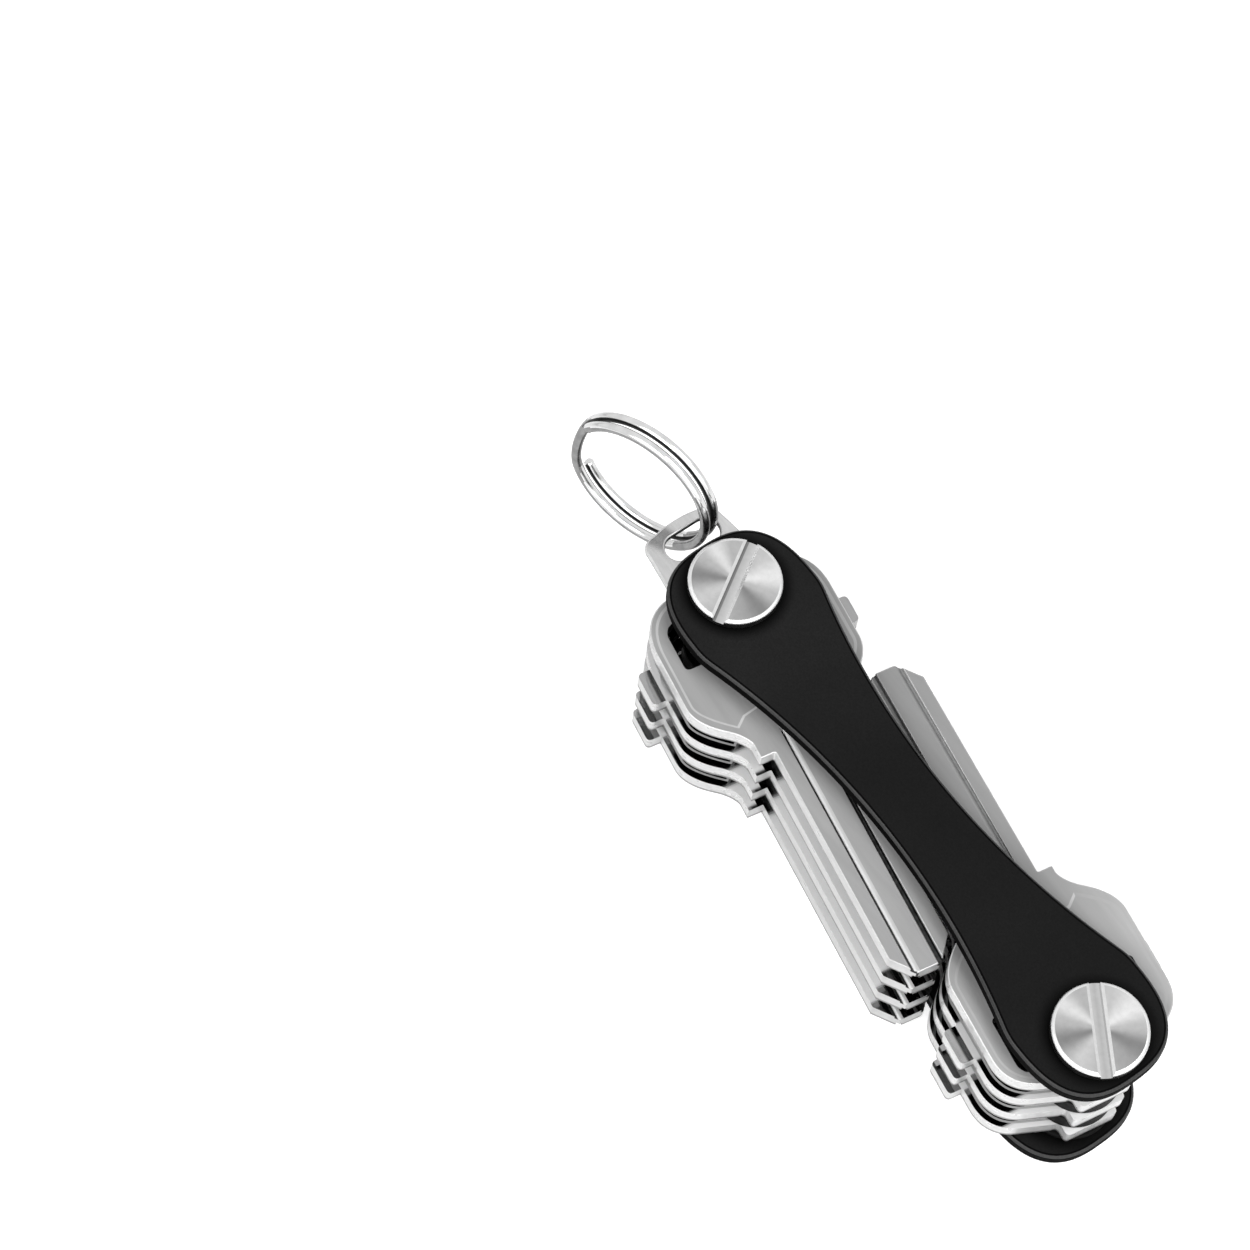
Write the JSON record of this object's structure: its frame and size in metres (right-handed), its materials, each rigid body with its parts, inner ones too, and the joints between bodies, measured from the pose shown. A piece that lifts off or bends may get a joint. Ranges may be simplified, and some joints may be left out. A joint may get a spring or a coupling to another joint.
{
  "type": "key organizer",
  "caption": "Pocket key organizer: keys fan out from two screw posts between black dog-bone plates, with a loop tab and a split ring at one end.",
  "frame": {"origin": "middle of the rear plate's outer face", "axes": "+X from the loop post to the tail post, +Z from the rear plate to the front plate, +Y completes the right hand"},
  "size_m": [0.0987, 0.0282, 0.0338],
  "materials": {
    "black_anodised": "matte black anodised",
    "stainless_steel": "turned bright",
    "key_nickel": "satin nickel",
    "plated_wire": "polished plating",
    "black_nylon": "matte"
  },
  "bodies": {
    "frame": {"front_plate": "black_anodised", "rear_plate": "black_anodised", "loop_post": "stainless_steel", "tail_post": "stainless_steel", "loop_screw": "stainless_steel", "tail_screw": "stainless_steel", "loop_spacer_1": "black_nylon", "loop_spacer_2": "black_nylon", "loop_spacer_3": "black_nylon", "tail_spacer_1": "black_nylon", "tail_spacer_2": "black_nylon", "tail_spacer_3": "black_nylon", "loop_rear_washer": "black_nylon", "tail_rear_washer": "black_nylon", "tail_front_washer": "black_nylon"},
    "loop_tab": {"loop_tab": "stainless_steel"},
    "split_ring": {"split_ring": "plated_wire"},
    "loop_key_1": {"loop_key_1": "key_nickel"},
    "loop_key_2": {"loop_key_2": "key_nickel"},
    "loop_key_3": {"loop_key_3": "key_nickel"},
    "loop_key_4": {"loop_key_4": "key_nickel"},
    "tail_key_1": {"tail_key_1": "key_nickel"},
    "tail_key_2": {"tail_key_2": "key_nickel"},
    "tail_key_3": {"tail_key_3": "key_nickel"},
    "tail_key_4": {"tail_key_4": "key_nickel"}
  },
  "joints": [
    {"name": "loop_key_1_swing", "type": "hinge", "parent": "frame", "child": "loop_key_1", "pos_m": [-0.033, 0, 0.012], "axis": [0, 0, 1], "range_deg": [-45, 0]},
    {"name": "loop_key_2_swing", "type": "hinge", "parent": "frame", "child": "loop_key_2", "pos_m": [-0.033, 0, 0.012], "axis": [0, 0, 1], "range_deg": [-45, 0]},
    {"name": "loop_key_3_swing", "type": "hinge", "parent": "frame", "child": "loop_key_3", "pos_m": [-0.033, 0, 0.012], "axis": [0, 0, 1], "range_deg": [-170, 0]},
    {"name": "loop_key_4_swing", "type": "hinge", "parent": "frame", "child": "loop_key_4", "pos_m": [-0.033, 0, 0.012], "axis": [0, 0, 1], "range_deg": [-170, 0]},
    {"name": "tail_key_1_swing", "type": "hinge", "parent": "frame", "child": "tail_key_1", "pos_m": [0.033, 0, 0.012], "axis": [0, 0, 1], "range_deg": [-170, 0]},
    {"name": "tail_key_2_swing", "type": "hinge", "parent": "frame", "child": "tail_key_2", "pos_m": [0.033, 0, 0.012], "axis": [0, 0, 1], "range_deg": [-170, 0]},
    {"name": "tail_key_3_swing", "type": "hinge", "parent": "frame", "child": "tail_key_3", "pos_m": [0.033, 0, 0.012], "axis": [0, 0, 1], "range_deg": [-170, 0]},
    {"name": "tail_key_4_swing", "type": "hinge", "parent": "frame", "child": "tail_key_4", "pos_m": [0.033, 0, 0.012], "axis": [0, 0, 1], "range_deg": [-170, 0]},
    {"name": "loop_tab_swivel", "type": "hinge", "parent": "frame", "child": "loop_tab", "pos_m": [-0.033, 0, 0.02065], "axis": [0, 0, 1], "range_deg": [-28, 8]},
    {"name": "split_ring_lean", "type": "hinge", "parent": "loop_tab", "child": "split_ring", "pos_m": [-0.04995, -0.00048, 0.02265], "axis": [0.9521, 0.3057, 0], "range_deg": [-40, 4]}
  ]
}
